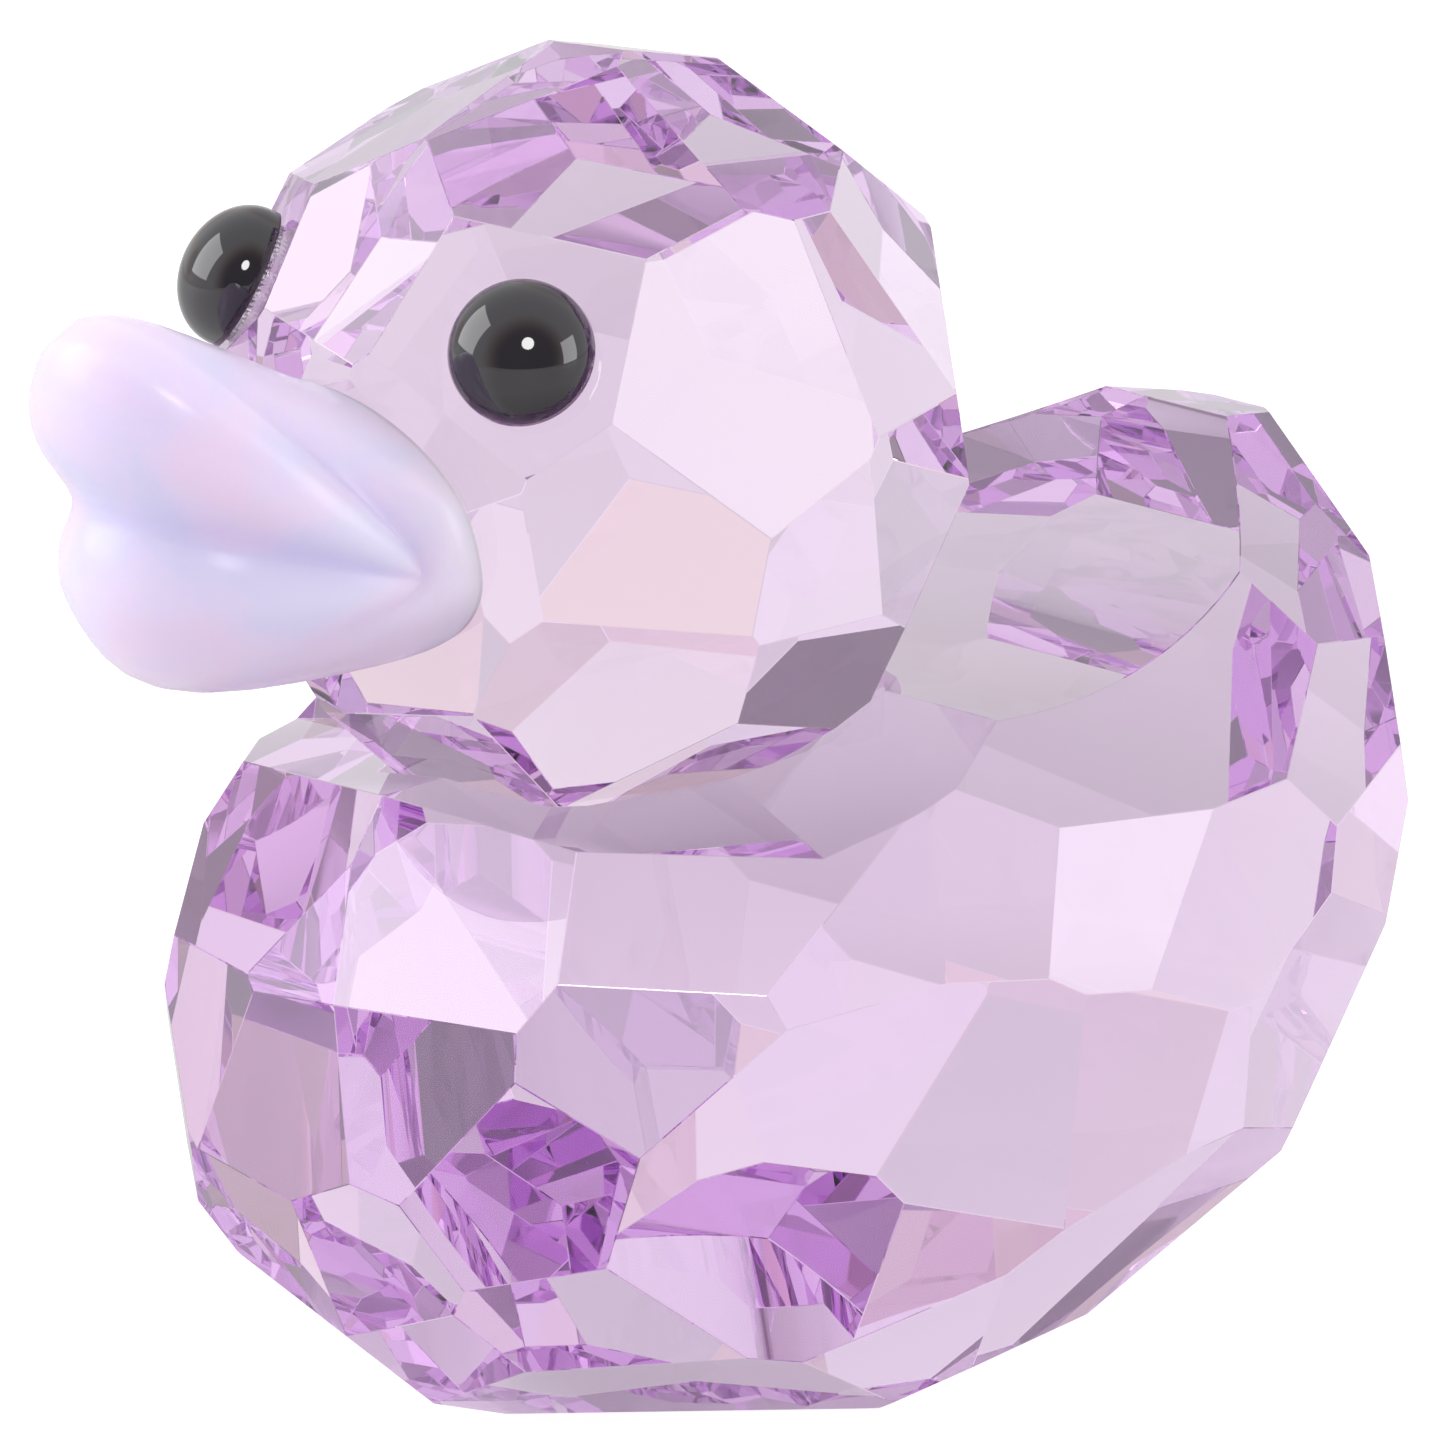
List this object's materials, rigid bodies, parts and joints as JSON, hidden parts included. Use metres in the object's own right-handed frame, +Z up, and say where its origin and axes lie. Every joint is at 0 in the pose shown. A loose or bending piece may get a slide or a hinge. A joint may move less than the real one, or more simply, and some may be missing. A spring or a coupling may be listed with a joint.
{
  "type": "crystal duck figurine",
  "caption": "Free-standing faceted crystal glass duck with a ball head, a raised tail, a smooth opal glass beak and black domed glass eyes, bonded at ground flats.",
  "frame": {"origin": "on the flat base the duck stands on, on its centre line, straight below the cutting centre of the body", "axes": "+Z up, -Y the way the duck faces, +X towards the duck's own left side"},
  "size_m": [0.0326, 0.0474, 0.0413],
  "materials": {
    "lilac_crystal": "polished, transparent, pale lilac lead-style crystal with sharp ground facets",
    "opal_lilac_glass": "glossy, milky lilac opal glass, moulded smooth",
    "black_glass": "mirror-polished, opaque black",
    "clear_adhesive": "clear cured adhesive film"
  },
  "bodies": {
    "root": {"body": "lilac_crystal", "head": "lilac_crystal", "beak": "opal_lilac_glass", "eye_left": "black_glass", "eye_right": "black_glass", "neck_bond": "clear_adhesive", "beak_bond": "clear_adhesive", "eye_bond_left": "clear_adhesive", "eye_bond_right": "clear_adhesive"}
  },
  "joints": []
}
